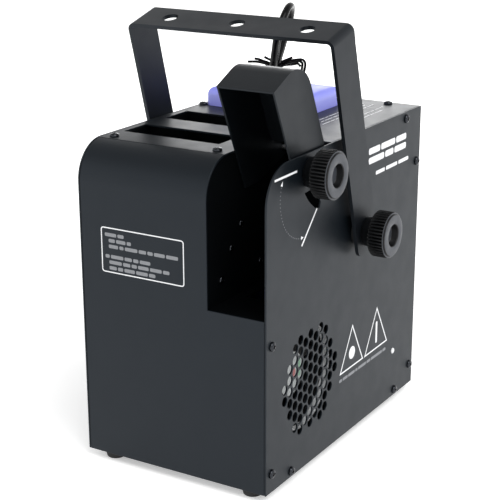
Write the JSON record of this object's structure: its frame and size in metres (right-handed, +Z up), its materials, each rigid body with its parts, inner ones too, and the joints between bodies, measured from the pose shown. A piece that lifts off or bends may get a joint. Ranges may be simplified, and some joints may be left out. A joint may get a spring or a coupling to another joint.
{
  "type": "fog machine",
  "caption": "Compact stage haze machine: dark sheet-metal box with a swivelling corner outlet hood, tilting U bracket, clamp knobs, violet fluid tank and tied mains lead.",
  "frame": {"origin": "on the floor, midway between the two bracket knobs and midway between the front panel and the fuse cap", "axes": "+Z up, -Y towards the front, where the haze leaves, +X towards the side with the hood knob and the fan grille"},
  "size_m": [0.2372, 0.3496, 0.3576],
  "materials": {
    "black_paint": "fine-grained satin powder coat",
    "black_plastic": "moulded, matt",
    "knob_plastic": "moulded, satin, fluted",
    "black_rubber": "flexible, semi-gloss",
    "bright_steel": "zinc plated",
    "cast_aluminium": "as cast",
    "brass": "turned",
    "lilac_tank": "translucent violet, smooth",
    "green_board": "solder mask",
    "dark_glass": "dark tinted window",
    "clear_hose": "clear soft hose"
  },
  "bodies": {
    "housing": {"base_tray": "black_paint", "front_panel": "black_paint", "top_plate": "black_paint", "left_side_panel": "black_paint", "right_side_panel": "black_paint", "back_panel": "black_paint", "outlet_duct_liner": "black_paint", "grip_recess": "black_paint", "foot_front_left": "black_rubber", "foot_front_right": "black_rubber", "foot_rear_left": "black_rubber", "foot_rear_right": "black_rubber", "bracket_spacer_left": "black_rubber", "bracket_spacer_right": "black_rubber", "mains_cord": "black_rubber", "cord_hank": "black_rubber", "cord_tail": "black_rubber", "side_screw_1": "bright_steel", "side_screw_2": "bright_steel", "side_screw_3": "bright_steel", "side_screw_4": "bright_steel", "side_screw_5": "bright_steel", "side_screw_6": "bright_steel", "side_screw_7": "bright_steel", "top_screw_1": "bright_steel", "top_screw_2": "bright_steel", "heat_shield": "bright_steel", "fluid_pump": "bright_steel", "bracket_stud_left": "bright_steel", "bracket_stud_right": "bright_steel", "hood_pivot_shaft": "bright_steel", "heater_block": "cast_aluminium", "haze_nozzle": "brass", "feed_pipe": "brass", "suction_hose": "clear_hose", "fluid_tank": "lilac_tank", "fan_frame": "black_plastic", "dmx_input_socket": "black_plastic", "dmx_output_socket": "black_plastic", "power_switch_frame": "black_plastic", "fuse_holder": "black_plastic", "cable_gland": "black_plastic", "hank_tie": "black_plastic", "mains_plug": "black_plastic", "control_board": "green_board", "display_window": "dark_glass"},
    "bracket": {"mounting_bracket": "black_paint"},
    "hood": {"outlet_hood": "black_paint", "hood_clamp_stud": "bright_steel"},
    "hood_knob": {"hood_knob": "knob_plastic"},
    "bracket_knob_left": {"bracket_knob_left": "knob_plastic"},
    "bracket_knob_right": {"bracket_knob_right": "knob_plastic"},
    "fan": {"fan_rotor": "black_plastic"},
    "tank_cap": {"tank_cap": "black_plastic"},
    "power_rocker": {"power_rocker": "black_plastic"},
    "fuse_cap": {"fuse_cap": "black_plastic"},
    "menu_button_1": {"menu_button_1": "knob_plastic"},
    "menu_button_2": {"menu_button_2": "knob_plastic"},
    "menu_button_3": {"menu_button_3": "knob_plastic"},
    "menu_button_4": {"menu_button_4": "knob_plastic"}
  },
  "joints": [
    {"name": "bracket_tilt", "type": "hinge", "parent": "housing", "child": "bracket", "pos_m": [0, 0.0085, 0.185], "axis": [1, 0, 0], "range_deg": [-50, 9]},
    {"name": "hood_tilt", "type": "hinge", "parent": "housing", "child": "hood", "pos_m": [0.0585, -0.0257, 0.2565], "axis": [1, 0, 0], "range_deg": [0, 36]},
    {"name": "hood_knob_turn", "type": "hinge", "parent": "hood", "child": "hood_knob", "pos_m": [0.098, -0.0745, 0.2521], "axis": [1, 0, 0], "continuous": true},
    {"name": "bracket_knob_left_turn", "type": "hinge", "parent": "housing", "child": "bracket_knob_left", "pos_m": [-0.107, 0.0085, 0.185], "axis": [-1, 0, 0], "continuous": true},
    {"name": "bracket_knob_right_turn", "type": "hinge", "parent": "housing", "child": "bracket_knob_right", "pos_m": [0.107, 0.0085, 0.185], "axis": [1, 0, 0], "continuous": true},
    {"name": "fan_spin", "type": "hinge", "parent": "housing", "child": "fan", "pos_m": [0.0607, -0.0685, 0.081], "axis": [1, 0, 0], "continuous": true},
    {"name": "tank_cap_turn", "type": "hinge", "parent": "housing", "child": "tank_cap", "pos_m": [-0.024, 0.071, 0.2875], "axis": [0, 0, 1], "continuous": true},
    {"name": "power_rocker_tip", "type": "hinge", "parent": "housing", "child": "power_rocker", "pos_m": [-0.012, 0.1285, 0.095], "axis": [1, 0, 0], "range_deg": [-18, 0]},
    {"name": "fuse_cap_turn", "type": "hinge", "parent": "housing", "child": "fuse_cap", "pos_m": [0.024, 0.1245, 0.095], "axis": [0, 1, 0], "range_deg": [0, 90]},
    {"name": "menu_button_1_press", "type": "slide", "parent": "housing", "child": "menu_button_1", "axis": [0, -1, 0], "range_m": [0, 0.001], "stiffness_N_per_m": 400},
    {"name": "menu_button_2_press", "type": "slide", "parent": "housing", "child": "menu_button_2", "axis": [0, -1, 0], "range_m": [0, 0.001], "stiffness_N_per_m": 400},
    {"name": "menu_button_3_press", "type": "slide", "parent": "housing", "child": "menu_button_3", "axis": [0, -1, 0], "range_m": [0, 0.001], "stiffness_N_per_m": 400},
    {"name": "menu_button_4_press", "type": "slide", "parent": "housing", "child": "menu_button_4", "axis": [0, -1, 0], "range_m": [0, 0.001], "stiffness_N_per_m": 400}
  ]
}
